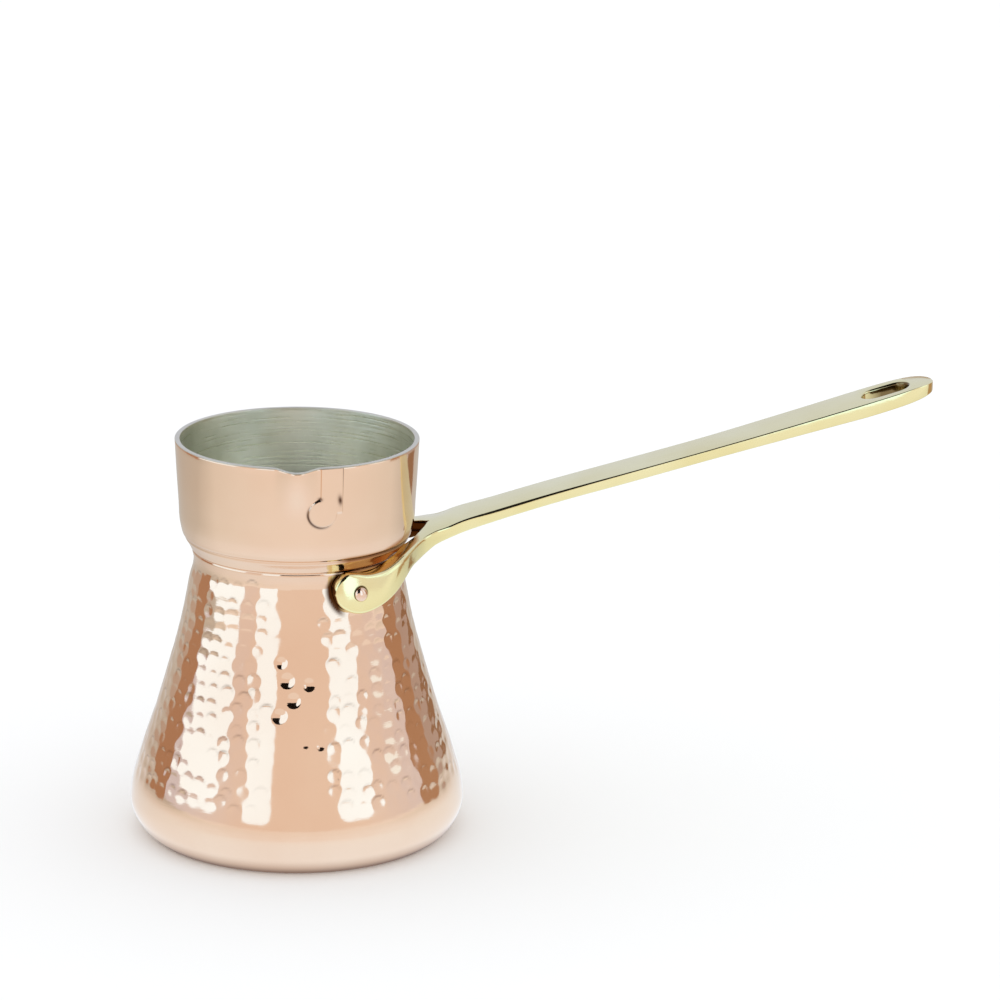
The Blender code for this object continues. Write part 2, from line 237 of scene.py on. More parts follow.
# Room: white to the table and to the camera. Polished metal sees a soft white front wall and a
# cooler, dimmer wall and ceiling behind.
world = bpy.data.worlds.new("room")
scene.world = world
world.use_nodes = True
tree = world.node_tree
tree.nodes.clear()
surface = add_node(tree, "ShaderNodeOutputWorld")
white = add_node(tree, "ShaderNodeBackground")
white.inputs["Color"].default_value = (1.0, 1.0, 1.0, 1.0)
white.inputs["Strength"].default_value = 1.13
walls = add_node(tree, "ShaderNodeBackground")
where = add_node(tree, "ShaderNodeTexCoord")
axes = add_node(tree, "ShaderNodeSeparateXYZ")
tree.links.new(where.outputs["Generated"], axes.inputs[0])
front_to_back = add_node(tree, "ShaderNodeMapRange")
front_to_back.inputs["From Min"].default_value = -0.8
front_to_back.inputs["From Max"].default_value = 0.5
tree.links.new(axes.outputs["Y"], front_to_back.inputs["Value"])
wall_mix = add_node(tree, "ShaderNodeMix", data_type="RGBA")
wall_mix.inputs[MIX_A].default_value = (0.91, 0.79, 0.72, 1.0)
wall_mix.inputs[MIX_B].default_value = (0.71, 0.73, 0.88, 1.0)
tree.links.new(front_to_back.outputs["Result"], wall_mix.inputs["Factor"])
tree.links.new(wall_mix.outputs[MIX_RESULT], walls.inputs["Color"])
path = add_node(tree, "ShaderNodeLightPath")
choice = add_node(tree, "ShaderNodeMixShader")
tree.links.new(path.outputs["Is Glossy Ray"], choice.inputs["Fac"])
tree.links.new(white.outputs["Background"], choice.inputs[1])
tree.links.new(walls.outputs["Background"], choice.inputs[2])
tree.links.new(choice.outputs["Shader"], surface.inputs["Surface"])

# ---------------------------------------------------------------------------------------------
# Copper pot.
# One sheet of copper, spun on a lathe to a cone, a grooved neck and a straight collar, then
# planished with a round hammer from the neck down to the polished foot.

HEIGHT = 108.8
COPPER_WALL = 1.0
RIM_TIN = 0.17
WALL_POINTS = np.array(
    (
        (0.0, 39.6), (1.5, 41.6), (4.2, 43.6), (8.3, 45.0), (12.0, 44.75), (22.0, 42.2),
        (34.0, 38.15), (46.0, 34.6), (58.0, 31.35), (70.0, 28.95), (76.6, 27.75), (80.0, 28.8),
        (83.0, 30.5),
        (86.0, 31.25), (92.0, 31.65), (100.0, 32.15), (108.8, 32.6),
    )
)
WALL_SLOPES = np.gradient(WALL_POINTS[:, 1], WALL_POINTS[:, 0])
GROOVES = (78.8, 82.6)
GROOVE_DEPTH = 0.35
GROOVE_HALF_WIDTH = 0.5
TURN_STEPS = 420


def wall_radius(height):
    """Outer radius of the smooth pot at these heights, in mm."""
    height = np.clip(height, 0.0, HEIGHT)
    after = np.clip(np.searchsorted(WALL_POINTS[:, 0], height), 1, len(WALL_POINTS) - 1)
    low, high = WALL_POINTS[after - 1], WALL_POINTS[after]
    span = high[..., 0] - low[..., 0]
    share = (height - low[..., 0]) / span
    radius = (
        (2 * share**3 - 3 * share**2 + 1) * low[..., 1]
        + (share**3 - 2 * share**2 + share) * span * WALL_SLOPES[after - 1]
        + (-2 * share**3 + 3 * share**2) * high[..., 1]
        + (share**3 - share**2) * span * WALL_SLOPES[after]
    )
    for groove in GROOVES:
        radius = radius - GROOVE_DEPTH * np.exp(-2 * ((height - groove) / GROOVE_HALF_WIDTH) ** 2)
    return radius


def turn_section(name, section, steps):
    """Pulls a circle into a wall's closed section (radius, height) and spins it round the axis."""
    bpy.ops.object.select_all(action="DESELECT")
    bpy.ops.mesh.primitive_circle_add(vertices=len(section), radius=1.0)
    piece = bpy.context.object
    piece.name = name
    section = np.array(section) * MM
    place_points(piece, np.stack((section[:, 0], np.zeros(len(section)), section[:, 1]), axis=1))
    bpy.ops.object.mode_set(mode="EDIT")
    bpy.ops.mesh.select_all(action="SELECT")
    bpy.ops.mesh.spin(
        steps=steps, angle=math.tau, center=(0.0, 0.0, 0.0), axis=(0.0, 0.0, 1.0)
    )
    bpy.ops.mesh.select_all(action="SELECT")
    bpy.ops.mesh.remove_doubles(threshold=0.001 * MM)
    bpy.ops.mesh.normals_make_consistent(inside=False)
    bpy.ops.object.mode_set(mode="OBJECT")
    bpy.ops.object.shade_smooth_by_angle(angle=math.radians(40.0))
    return piece


def piece_points(piece):
    """The points of a piece, in mm."""
    points = np.empty(len(piece.data.vertices) * 3)
    piece.data.vertices.foreach_get("co", points)
    return points.reshape(-1, 3) / MM


# The pouring lip is pressed out of the rim with a rounded punch.
LIP_ANGLE = math.radians(-98.0)
LIP_HALF_WIDTH = 6.6
LIP_REACH = 2.4
LIP_DROP = 0.6
LIP_LENGTH = 15.0


def press_lip(points):
    """Pushes the rim outwards and a little down at the lip, fading sideways and downwards."""
    radius = np.hypot(points[:, 0], points[:, 1])
    turn = np.arctan2(points[:, 1], points[:, 0]) - LIP_ANGLE
    turn = (turn + math.pi) % math.tau - math.pi
    across = np.clip(np.abs(turn * radius) / LIP_HALF_WIDTH, 0.0, 1.0)
    down = np.clip((HEIGHT - points[:, 2]) / LIP_LENGTH, 0.0, 1.0)
    bulge = (np.cos(across * math.pi / 2) * np.cos(down * math.pi / 2)) ** 2 * (radius > 20.0)
    outward = LIP_REACH * bulge / np.maximum(radius, 1.0)
    points[:, 0] += outward * points[:, 0]
    points[:, 1] += outward * points[:, 1]
    points[:, 2] -= LIP_DROP * bulge
    return points


copper_top = HEIGHT - RIM_TIN
foot_levels = 17.0 * (np.arange(1, 23) / 22.0) ** 1.4
hammered_levels = np.arange(17.5, 77.6, 0.50)
neck_levels = np.concatenate(
    (
        np.arange(77.8, 80.1, 0.22),
        np.arange(80.4, 81.5, 0.35),
        np.arange(81.6, 83.9, 0.22),
        np.arange(84.3, 87.2, 0.55),
    )
)
collar_levels = np.linspace(88.2, copper_top - 0.35, 13)
outside = [(0.0, 0.0), (14.0, 0.0), (28.0, 0.0), (38.6, 0.0), (39.6, 0.0)]
for level in np.concatenate((foot_levels, hammered_levels, neck_levels, collar_levels)):
    outside.append((float(wall_radius(level)), float(level)))
RIM_ROUNDING = 0.30
rim_radius = float(wall_radius(copper_top))
for angle in (30.0, 60.0, 90.0):
    shift = RIM_ROUNDING * (1.0 - math.cos(math.radians(angle)))
    rise = RIM_ROUNDING * math.sin(math.radians(angle))
    outside.append((rim_radius - shift, copper_top - RIM_ROUNDING + rise))
inside = []
for level in (
    copper_top, 92.0, 86.5, 85.0, 83.0, 81.0, 77.0, 60.0, 46.0, 34.0, 22.0, 12.0, 8.0, 4.0,
):
    inside.append((float(wall_radius(level)) - COPPER_WALL, level))
inside += [(36.0, COPPER_WALL), (0.0, COPPER_WALL)]
copper_pot = turn_section("copper_pot", outside + inside, TURN_STEPS)

# Hammer marks: shallow round dents in staggered rings. The front is struck softly, with a few
# harder blows. A mark has its angle, height, size, and the slope of its bowl.
QUIET_FROM, QUIET_TO = math.radians(-111.0), math.radians(-85.0)
RINGS_FROM, RINGS_TO, RING_PITCH = 18.4, 76.5, 3.95
MARK_PITCH = 4.3
CONE_MEAN_RADIUS = 35.0
HARD_MARK_CLEARANCE = 3.3
HARD_MARK_SLOPE = 0.18
MARK_TILT, HARD_MARK_TILT = 0.50, -0.6
MARK_REACH = 1.3
SOFT_EDGE = 0.010
random_marks = np.random.default_rng(7)
marks = []
hard_marks = [
    (math.radians(degrees), height, size, steep)
    for degrees, height, size, steep in (
        (-105.5, 55.8, 1.60, 0.36),
        (-102.5, 51.4, 2.15, 0.38),
        (-92.5, 50.4, 1.85, 0.36),
        (-99.5, 46.4, 2.15, 0.38),
        (-105.5, 42.4, 2.10, 0.38),
        (-94.5, 35.2, 1.10, 0.30),
        (-88.5, 34.8, 1.25, 0.32),
    )
]
ring_height = RINGS_FROM
ring_number = 0
while ring_height < RINGS_TO:
    count = int(round(math.tau * wall_radius(ring_height) / MARK_PITCH))
    for number in range(count):
        turn = math.tau * (number + 0.5 * (ring_number % 2)) / count
        turn = math.remainder(turn + random_marks.normal(0.0, 0.014), math.tau)
        height = ring_height + random_marks.normal(0.0, 0.55)
        size = random_marks.uniform(1.75, 2.35)
        steep = random_marks.uniform(0.07, 0.15)
        if QUIET_FROM < turn < QUIET_TO:
            steep *= 0.20 if height < 40.0 else 0.34
        clear = all(
            math.hypot(
                math.remainder(turn - hard_turn, math.tau) * CONE_MEAN_RADIUS, height - hard_height
            )
            > HARD_MARK_CLEARANCE
            for hard_turn, hard_height, _, _ in hard_marks
        )
        if clear:
            marks.append((turn, height, size, steep))
    ring_height += RING_PITCH
    ring_number += 1

points = piece_points(copper_pot)
radius = np.hypot(points[:, 0], points[:, 1])
on_cone = np.flatnonzero(
    (points[:, 2] > 15.0) & (points[:, 2] < 79.0) & (radius > wall_radius(points[:, 2]) - 0.4)
)
on_cone = on_cone[np.argsort(points[on_cone, 2])]
cone_heights = points[on_cone, 2]
cone_angles = np.arctan2(points[on_cone, 1], points[on_cone, 0])
dent = np.zeros(len(on_cone))
painted_shade = np.zeros(len(points))
for turn, height, size, steep in marks + hard_marks:
    band = (height - size * MARK_REACH, height + size * MARK_REACH)
    first, last = np.searchsorted(cone_heights, band)
    apart = (cone_angles[first:last] - turn + math.pi) % math.tau - math.pi
    above = cone_heights[first:last] - height
    away = np.hypot(apart * wall_radius(height), above * 1.035) / size
    upward = np.clip(above / size, -1.0, 1.0)
    tilt = MARK_TILT if steep < HARD_MARK_SLOPE else HARD_MARK_TILT
    bowl = 0.5 * size * steep * (1.0 - away**2) * (1.0 + tilt * upward)
    # Painted reflection: a dark arc along the upper rim of each middling-deep mark.
    painted_rim_arc = np.exp(-(((away - 0.86) / 0.15) ** 2)) * np.clip(upward, 0.0, 1.0) ** 1.5
    painted_rim_arc *= np.clip((steep - 0.095) * 12.0, 0.0, 0.60) * (steep < HARD_MARK_SLOPE)
    chosen = on_cone[first:last]
    painted_shade[chosen] = np.maximum(painted_shade[chosen], painted_rim_arc)
    bowl = np.where(away < MARK_REACH, 0.5 * (bowl + np.sqrt(bowl**2 + SOFT_EDGE**2)), 0.0)
    dent[first:last] = np.maximum(dent[first:last], bowl)
shrink = 1.0 - dent / radius[on_cone]
points[on_cone, 0] *= shrink
points[on_cone, 1] *= shrink
place_points(copper_pot, points * MM)

# Raised drop beside the lip: a round pad with an upright strip above it, in low relief.
DROP_ANGLE = LIP_ANGLE + math.radians(12.0)
DROP_RADIUS = 3.8
DROP_PAD_HEIGHT = HEIGHT - 12.4
DROP_STRIP_SHIFT = 2.4
DROP_STRIP_HALF_WIDTH = 2.95
DROP_RELIEF = 0.55
DROP_EDGE = 0.20
ON_WALL = 0.4


def place_on_collar(points):
    """Distance round the collar from the drop's middle, and the height, of each point in mm."""
    turn = np.arctan2(points[:, 1], points[:, 0]) - DROP_ANGLE
    return ((turn + math.pi) % math.tau - math.pi) * wall_radius(points[:, 2]), points[:, 2]


centres = np.array([polygon.center for polygon in copper_pot.data.polygons]) / MM
along, height = place_on_collar(centres)
chosen = (
    (np.abs(along - 0.8) < 6.0)
    & (height > 91.0)
    & (height < 109.0)
    & (np.hypot(centres[:, 0], centres[:, 1]) > wall_radius(centres[:, 2]) - ON_WALL)
)
bpy.ops.object.mode_set(mode="EDIT")
bpy.ops.mesh.select_mode(type="FACE")
bpy.ops.mesh.select_all(action="DESELECT")
bpy.ops.object.mode_set(mode="OBJECT")
copper_pot.data.polygons.foreach_set("select", chosen)
bpy.ops.object.mode_set(mode="EDIT")
bpy.ops.mesh.subdivide(number_cuts=4)
bpy.ops.mesh.select_mode(type="VERT")
bpy.ops.object.mode_set(mode="OBJECT")
points = piece_points(copper_pot)
radius = np.hypot(points[:, 0], points[:, 1])
along, height = place_on_collar(points)
to_pad = DROP_RADIUS - np.hypot(along, height - DROP_PAD_HEIGHT)
to_strip = np.minimum(
    DROP_STRIP_HALF_WIDTH - np.abs(along - DROP_STRIP_SHIFT),
    height - DROP_PAD_HEIGHT,
)
within = np.maximum(to_pad, to_strip)
rise = np.clip((within + DROP_EDGE) / (2.0 * DROP_EDGE), 0.0, 1.0)
rise = DROP_RELIEF * rise * rise * (3.0 - 2.0 * rise)
rise = rise * (radius > wall_radius(height) - 0.25) * (height > 90.0)
smooth_radius = np.where(rise > 0.0, wall_radius(height), radius)
grow = (smooth_radius + rise) / np.maximum(radius, 1.0)
grow = np.where(radius > 20.0, grow, 1.0)
points[:, 0] *= grow
points[:, 1] *= grow

# Painted shade: dark brown is painted in the upper rims of the marks, round the drop and beside the
# ears. It stands in for shadow and for dark reflections.
turns = np.arctan2(points[:, 1], points[:, 0])
painted_mark_arcs = painted_shade
painted_shade = np.zeros(len(points))
painted_shade[: len(painted_mark_arcs)] = painted_mark_arcs
# Painted shade round the drop: a dark crescent along the pad's lower left as painted shadow. Dark
# spots in the two notches where the strip meets the pad, and a dark line beside the strip's right
# side, are painted dark reflections.
above_pad = height - DROP_PAD_HEIGHT
lower_left = np.clip((-along - above_pad) / DROP_RADIUS * 0.8, 0.0, 1.0)
crescent = np.exp(-(((to_pad + 0.12) / 0.34) ** 2)) * lower_left
left_corner = np.hypot(along + 0.75, (above_pad - 4.0) * 1.3)
from_corner = along - 4.55
right_corner = np.hypot(from_corner * 1.4, (above_pad - 3.5) * 0.7 + 0.35 * from_corner)
side_line = np.exp(-(((along - 5.45) / 0.16) ** 2)) * np.clip((above_pad - 3.0) / 8.0, 0.0, 1.0)
corners = np.exp(-((left_corner / 0.60) ** 2)) + np.exp(-((right_corner / 0.85) ** 2))
at_drop = np.maximum(np.maximum(crescent, corners), 0.75 * side_line)
on_collar = (height > 88.0) & (radius > wall_radius(height) - ON_WALL)
at_drop = np.where(on_collar, at_drop, 0.0)
# Painted shadow beside each ear: the copper just outside the ear's pad goes dark, as the ear's
# contact shadow and dark reflection.
EAR_PAD_ANGLE = math.radians(68.3)
EAR_PAD_HEIGHT = 73.25
EAR_PAD_RADIUS = 5.3
beyond = (np.abs(turns) - EAR_PAD_ANGLE) * wall_radius(height)
gap = np.hypot(beyond, height - EAR_PAD_HEIGHT) - EAR_PAD_RADIUS
beside_ear = np.clip((2.0 - gap) / 1.1, 0.0, 1.0) * np.clip((beyond - 1.8) / 2.0, 0.0, 1.0)
painted_shade = np.clip(np.maximum(np.maximum(painted_shade, at_drop), beside_ear), 0.0, 1.0)

# Neck: a painted reflection of the brass, orange and brown, where the brass lies close above the
# grooves, and a faint painted warm reflection all round.
NECK_FOOT = 76.0
AROUND_TOP = 84.4
AROUND_TINT = 0.16
near_arms = np.clip((math.radians(50.0) - np.abs(turns)) / math.radians(20.0), 0.0, 1.0)
painted_neck_reflection = np.clip((math.radians(79.0) - np.abs(turns)) / math.radians(8.0), 0.0, 1.0)
painted_neck_reflection *= np.clip((height - NECK_FOOT) / 1.2, 0.0, 1.0)
painted_neck_reflection *= np.clip((83.9 + 2.0 * near_arms - height) / 0.8, 0.0, 1.0)
around = np.clip((height - NECK_FOOT) / 1.5, 0.0, 1.0)
around *= np.clip((AROUND_TOP - height) / 0.8, 0.0, 1.0)
# Painted shade in the grooves where the brass lies close above them.
for groove in GROOVES:
    groove_shade = painted_neck_reflection * np.exp(-(((height - groove) / 0.55) ** 2))
    painted_shade = np.maximum(painted_shade, 0.8 * groove_shade)
painted_neck_reflection = np.maximum(painted_neck_reflection, AROUND_TINT * around)
for name, values in (("painted_shade", painted_shade), ("painted_neck_reflection", painted_neck_reflection)):
    layer = copper_pot.data.attributes.new(name, "FLOAT", "POINT")
    layer.data.foreach_set("value", values.astype(np.float32))
place_points(copper_pot, press_lip(points) * MM)
bpy.ops.object.shade_smooth_by_angle(angle=math.radians(60.0))

# Every metal of the pot shares one group: a cloudy tarnish tint, fine brushed scratches and
# faint casting or planishing waves.
worn_metal = bpy.data.node_groups.new("worn_metal", "ShaderNodeTree")
for name, kind, value in (
    ("Vector", "NodeSocketVector", (0.0, 0.0, 0.0)),
    ("Colour", "NodeSocketColor", (0.8, 0.8, 0.8, 1.0)),
    ("Deep Colour", "NodeSocketColor", (0.6, 0.6, 0.6, 1.0)),
    ("Roughness", "NodeSocketFloat", 0.1),
    ("Cloud Scale", "NodeSocketFloat", 30.0),
    ("Scratch Depth", "NodeSocketFloat", 0.1),
    ("Wave Depth", "NodeSocketFloat", 0.1),
):
    socket = worn_metal.interface.new_socket(name=name, in_out="INPUT", socket_type=kind)
    socket.default_value = value
for name, kind in (
    ("Colour", "NodeSocketColor"), ("Roughness", "NodeSocketFloat"), ("Normal", "NodeSocketVector"),
):
    worn_metal.interface.new_socket(name=name, in_out="OUTPUT", socket_type=kind)
inputs = add_node(worn_metal, "NodeGroupInput")
outputs = add_node(worn_metal, "NodeGroupOutput")
cloud = add_node(worn_metal, "ShaderNodeTexNoise")
cloud.inputs["Detail"].default_value = 5.0
worn_metal.links.new(inputs.outputs["Vector"], cloud.inputs["Vector"])
worn_metal.links.new(inputs.outputs["Cloud Scale"], cloud.inputs["Scale"])
spread = add_node(worn_metal, "ShaderNodeMapRange")
spread.inputs["From Min"].default_value = 0.35
spread.inputs["From Max"].default_value = 0.66
worn_metal.links.new(cloud.outputs["Fac"], spread.inputs["Value"])
tint = add_node(worn_metal, "ShaderNodeMix", data_type="RGBA")
worn_metal.links.new(spread.outputs["Result"], tint.inputs["Factor"])
worn_metal.links.new(inputs.outputs["Deep Colour"], tint.inputs[MIX_A])
worn_metal.links.new(inputs.outputs["Colour"], tint.inputs[MIX_B])
stretch = add_node(worn_metal, "ShaderNodeMapping")
stretch.inputs["Scale"].default_value = (260.0, 260.0, 3200.0)
worn_metal.links.new(inputs.outputs["Vector"], stretch.inputs["Vector"])
scratches = add_node(worn_metal, "ShaderNodeTexNoise")
scratches.inputs["Scale"].default_value = 1.0
scratches.inputs["Detail"].default_value = 4.0
worn_metal.links.new(stretch.outputs["Vector"], scratches.inputs["Vector"])
waves = add_node(worn_metal, "ShaderNodeTexNoise")
waves.inputs["Scale"].default_value = 140.0
waves.inputs["Detail"].default_value = 2.0
worn_metal.links.new(inputs.outputs["Vector"], waves.inputs["Vector"])
both_worn = add_node(worn_metal, "ShaderNodeMath", operation="MULTIPLY_ADD")
both_worn.inputs[1].default_value = 0.5
worn_metal.links.new(scratches.outputs["Fac"], both_worn.inputs[0])
worn_metal.links.new(cloud.outputs["Fac"], both_worn.inputs[2])
rough = add_node(worn_metal, "ShaderNodeMapRange")
rough.inputs["From Min"].default_value = 0.45
rough.inputs["From Max"].default_value = 1.05
rough.inputs["To Min"].default_value = 0.7
rough.inputs["To Max"].default_value = 1.4
worn_metal.links.new(both_worn.outputs["Value"], rough.inputs["Value"])
scaled = add_node(worn_metal, "ShaderNodeMath", operation="MULTIPLY")
worn_metal.links.new(rough.outputs["Result"], scaled.inputs[0])
worn_metal.links.new(inputs.outputs["Roughness"], scaled.inputs[1])
waving = add_node(worn_metal, "ShaderNodeBump")
waving.inputs["Distance"].default_value = 0.00030
worn_metal.links.new(inputs.outputs["Wave Depth"], waving.inputs["Strength"])
worn_metal.links.new(waves.outputs["Fac"], waving.inputs["Height"])
scratching = add_node(worn_metal, "ShaderNodeBump")
scratching.inputs["Distance"].default_value = 0.00002
worn_metal.links.new(inputs.outputs["Scratch Depth"], scratching.inputs["Strength"])
worn_metal.links.new(scratches.outputs["Fac"], scratching.inputs["Height"])
worn_metal.links.new(waving.outputs["Normal"], scratching.inputs["Normal"])
worn_metal.links.new(tint.outputs[MIX_RESULT], outputs.inputs["Colour"])
worn_metal.links.new(scaled.outputs["Value"], outputs.inputs["Roughness"])
worn_metal.links.new(scratching.outputs["Normal"], outputs.inputs["Normal"])


def metal_surface(name, colour, deep_colour, roughness, cloud_scale, scratch_depth, wave_depth):
    """Material of one metal; returns it with its tree, shader, coordinates and worn_metal node."""
    material, tree = start_material(name)
    surface = add_node(tree, "ShaderNodeOutputMaterial")
    shader = add_node(tree, "ShaderNodeBsdfPrincipled")
    shader.inputs["Metallic"].default_value = 1.0
    tree.links.new(shader.outputs["BSDF"], surface.inputs["Surface"])
    where = add_node(tree, "ShaderNodeTexCoord")
    worn = add_node(tree, "ShaderNodeGroup")
    worn.node_tree = worn_metal
    worn.inputs["Colour"].default_value = (*colour, 1.0)
    worn.inputs["Deep Colour"].default_value = (*deep_colour, 1.0)
    worn.inputs["Roughness"].default_value = roughness
    worn.inputs["Cloud Scale"].default_value = cloud_scale
    worn.inputs["Scratch Depth"].default_value = scratch_depth
    worn.inputs["Wave Depth"].default_value = wave_depth
    tree.links.new(where.outputs["Object"], worn.inputs["Vector"])
    tree.links.new(worn.outputs["Colour"], shader.inputs["Base Color"])
    tree.links.new(worn.outputs["Roughness"], shader.inputs["Roughness"])
    tree.links.new(worn.outputs["Normal"], shader.inputs["Normal"])
    return material, tree, shader, where, worn


def darken_by(tree, shader, mask, colour):
    """Mixes the shader's base colour towards a colour where the mask is high."""
    mix = add_node(tree, "ShaderNodeMix", data_type="RGBA")
    mix.inputs[MIX_B].default_value = (*colour, 1.0)
    tree.links.new(mask, mix.inputs["Factor"])
    tree.links.new(shader.inputs["Base Color"].links[0].from_socket, mix.inputs[MIX_A])
    tree.links.new(mix.outputs[MIX_RESULT], shader.inputs["Base Color"])


copper_polished, tree, shader, _, _ = metal_surface(
    "copper_polished",
    colour=(0.885, 0.685, 0.525),
    deep_colour=(0.85, 0.625, 0.465),
    roughness=0.075,
    cloud_scale=24.0,
    scratch_depth=0.35,
    wave_depth=0.10,
)
# The painted reflection of the brass tints the neck orange and brown.
layer = add_node(tree, "ShaderNodeAttribute", attribute_name="painted_neck_reflection")
neck_reflection_strength = add_node(tree, "ShaderNodeMath", operation="MULTIPLY")
neck_reflection_strength.inputs[1].default_value = 0.85
tree.links.new(layer.outputs["Fac"], neck_reflection_strength.inputs[0])
darken_by(tree, shader, neck_reflection_strength.outputs["Value"], (0.52, 0.20, 0.045))
# Painted shade and dark reflections take the copper nearly to black-brown.
layer = add_node(tree, "ShaderNodeAttribute", attribute_name="painted_shade")
darken_by(tree, shader, layer.outputs["Fac"], (0.075, 0.026, 0.010))
copper_pot.data.materials.append(copper_polished)
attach(copper_pot, "root")
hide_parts("pot_body")

# ---------------------------------------------------------------------------------------------
# Tin lining.
# Pure tin, wiped hot over the inside of the copper and turned over the rim. The wiping leaves
# soft rings, and the rim is filed flat.

TIN_WALL = 0.33
lining_inside = [(0.0, 1.40), (20.0, 1.40), (34.0, 1.45), (38.0, 2.0)]
BRIDGED = (77.5, 84.5)
lining_levels = np.concatenate(
    (np.linspace(3.5, 75.0, 40), np.linspace(76.0, 88.0, 25), np.linspace(89.0, 107.9, 20))
)
for level in lining_levels:
    # The tin runs straight across the grooves.
    if BRIDGED[0] <= level <= BRIDGED[1]:
        backing = float(np.interp(level, BRIDGED, wall_radius(np.array(BRIDGED))))
    else:
        backing = float(wall_radius(level))
    lining_inside.append((backing - COPPER_WALL - TIN_WALL, float(level)))
rim_outer = float(wall_radius(HEIGHT))
rim_inner = rim_outer - COPPER_WALL - TIN_WALL
EDGE = 0.13
EDGE_STEPS = 5
edge_turns = [math.radians(angle) for angle in np.linspace(0.0, 90.0, EDGE_STEPS)]
for turn in edge_turns:
    radius_now = rim_inner + EDGE * (1 - math.cos(turn))
    lining_inside.append((radius_now, HEIGHT - EDGE + EDGE * math.sin(turn)))
for turn in edge_turns:
    radius_now = rim_outer - EDGE + EDGE * math.sin(turn)
    lining_inside.append((radius_now, HEIGHT - EDGE + EDGE * math.cos(turn)))
flange_level = HEIGHT - RIM_TIN + 0.01
lining_back = [(rim_outer - 0.01, flange_level), (rim_inner + TIN_WALL - 0.01, flange_level)]
for radius_now, level in reversed(lining_inside[4 : -2 * EDGE_STEPS]):
    lining_back.append((radius_now + TIN_WALL - 0.02, level))
lining_back += [(37.6, 1.9), (34.0, 1.08), (0.0, 1.08)]
tin_lining = turn_section("wiped_tin_lining", lining_inside + lining_back, TURN_STEPS)
place_points(tin_lining, press_lip(piece_points(tin_lining)) * MM)

tin_wiped, tree, shader, where, worn = metal_surface(
    "tin_wiped",
    colour=(0.97, 0.97, 0.86),
    deep_colour=(0.66, 0.67, 0.54),
    roughness=0.33,
    cloud_scale=45.0,
    scratch_depth=0.6,
    wave_depth=0.4,
)
# Wiping marks run round the pot: noise squeezed thin in height.
squeeze = add_node(tree, "ShaderNodeMapping")
squeeze.inputs["Scale"].default_value = (40.0, 40.0, 1900.0)
tree.links.new(where.outputs["Object"], squeeze.inputs["Vector"])
wipes = add_node(tree, "ShaderNodeTexNoise")
wipes.inputs["Scale"].default_value = 1.0
wipes.inputs["Detail"].default_value = 6.0
wipes.inputs["Roughness"].default_value = 0.65
tree.links.new(squeeze.outputs["Vector"], wipes.inputs["Vector"])
rings = add_node(tree, "ShaderNodeTexWave", wave_type="BANDS", bands_direction="Z")
rings.inputs["Scale"].default_value = 260.0
rings.inputs["Distortion"].default_value = 3.0
rings.inputs["Detail"].default_value = 3.0
rings.inputs["Detail Scale"].default_value = 0.4
tree.links.new(where.outputs["Object"], rings.inputs["Vector"])
marks_mix = add_node(tree, "ShaderNodeMath", operation="MULTIPLY_ADD")
marks_mix.inputs[1].default_value = 0.10
tree.links.new(rings.outputs["Fac"], marks_mix.inputs[0])
tree.links.new(wipes.outputs["Fac"], marks_mix.inputs[2])
relief = add_node(tree, "ShaderNodeBump")
relief.inputs["Strength"].default_value = 0.55
relief.inputs["Distance"].default_value = 0.00010
tree.links.new(marks_mix.outputs["Value"], relief.inputs["Height"])
tree.links.new(worn.outputs["Normal"], relief.inputs["Normal"])
tree.links.new(relief.outputs["Normal"], shader.inputs["Normal"])
smeared = add_node(tree, "ShaderNodeMapRange")
smeared.inputs["From Min"].default_value = 0.35
smeared.inputs["From Max"].default_value = 0.75
smeared.inputs["To Min"].default_value = 0.20
smeared.inputs["To Max"].default_value = 0.46
tree.links.new(marks_mix.outputs["Value"], smeared.inputs["Value"])
tree.links.new(smeared.outputs["Result"], shader.inputs["Roughness"])
# The filed rim is duller and warmer than the inside.
RIM_DULL_FROM, RIM_DULL_FULL = 0.1079, 0.1083
height_now = add_node(tree, "ShaderNodeSeparateXYZ")
tree.links.new(where.outputs["Object"], height_now.inputs[0])
at_rim = add_node(tree, "ShaderNodeMapRange")
at_rim.inputs["From Min"].default_value = RIM_DULL_FROM
at_rim.inputs["From Max"].default_value = RIM_DULL_FULL
at_rim.inputs["To Max"].default_value = 0.9
tree.links.new(height_now.outputs["Z"], at_rim.inputs["Value"])
darken_by(tree, shader, at_rim.outputs["Result"], (0.66, 0.64, 0.52))
tin_lining.data.materials.append(tin_wiped)
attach(tin_lining, "root")
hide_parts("tin_lining")

# ---------------------------------------------------------------------------------------------
# Brass handle.
# One sand casting: a flat bar with a hanging slot, forked into two arms whose ears wrap the neck.
# Its flats are filed and polished, and its edges are just broken.

# Bar: x, half width, top and thickness. Its end is rounded, drops and thins.
BAR_ROWS = (
    (44.0, 7.1, 86.1, 3.4), (52.0, 6.85, 88.2, 3.1), (68.0, 6.6, 92.4, 2.95),
    (90.0, 6.45, 97.7, 2.95), (112.0, 6.45, 103.1, 2.9), (134.0, 6.9, 108.9, 3.3),
    (154.6, 7.3, 114.5, 3.9),
)
BAR_END_X = 174.1
BAR_END_SLOPE = math.tan(math.radians(15.1))
BAR_END_POWER = 2.8
BAR_END_DROP = 0.9
BAR_END_THINNING = 0.37
BAR_EDGE = 0.35
BAR_EDGE_AT = (44.0, 52.0, 68.0, 90.0, 112.0)
BAR_TOP_EDGE = (0.60, 0.85, 0.75, 0.42, 0.35)
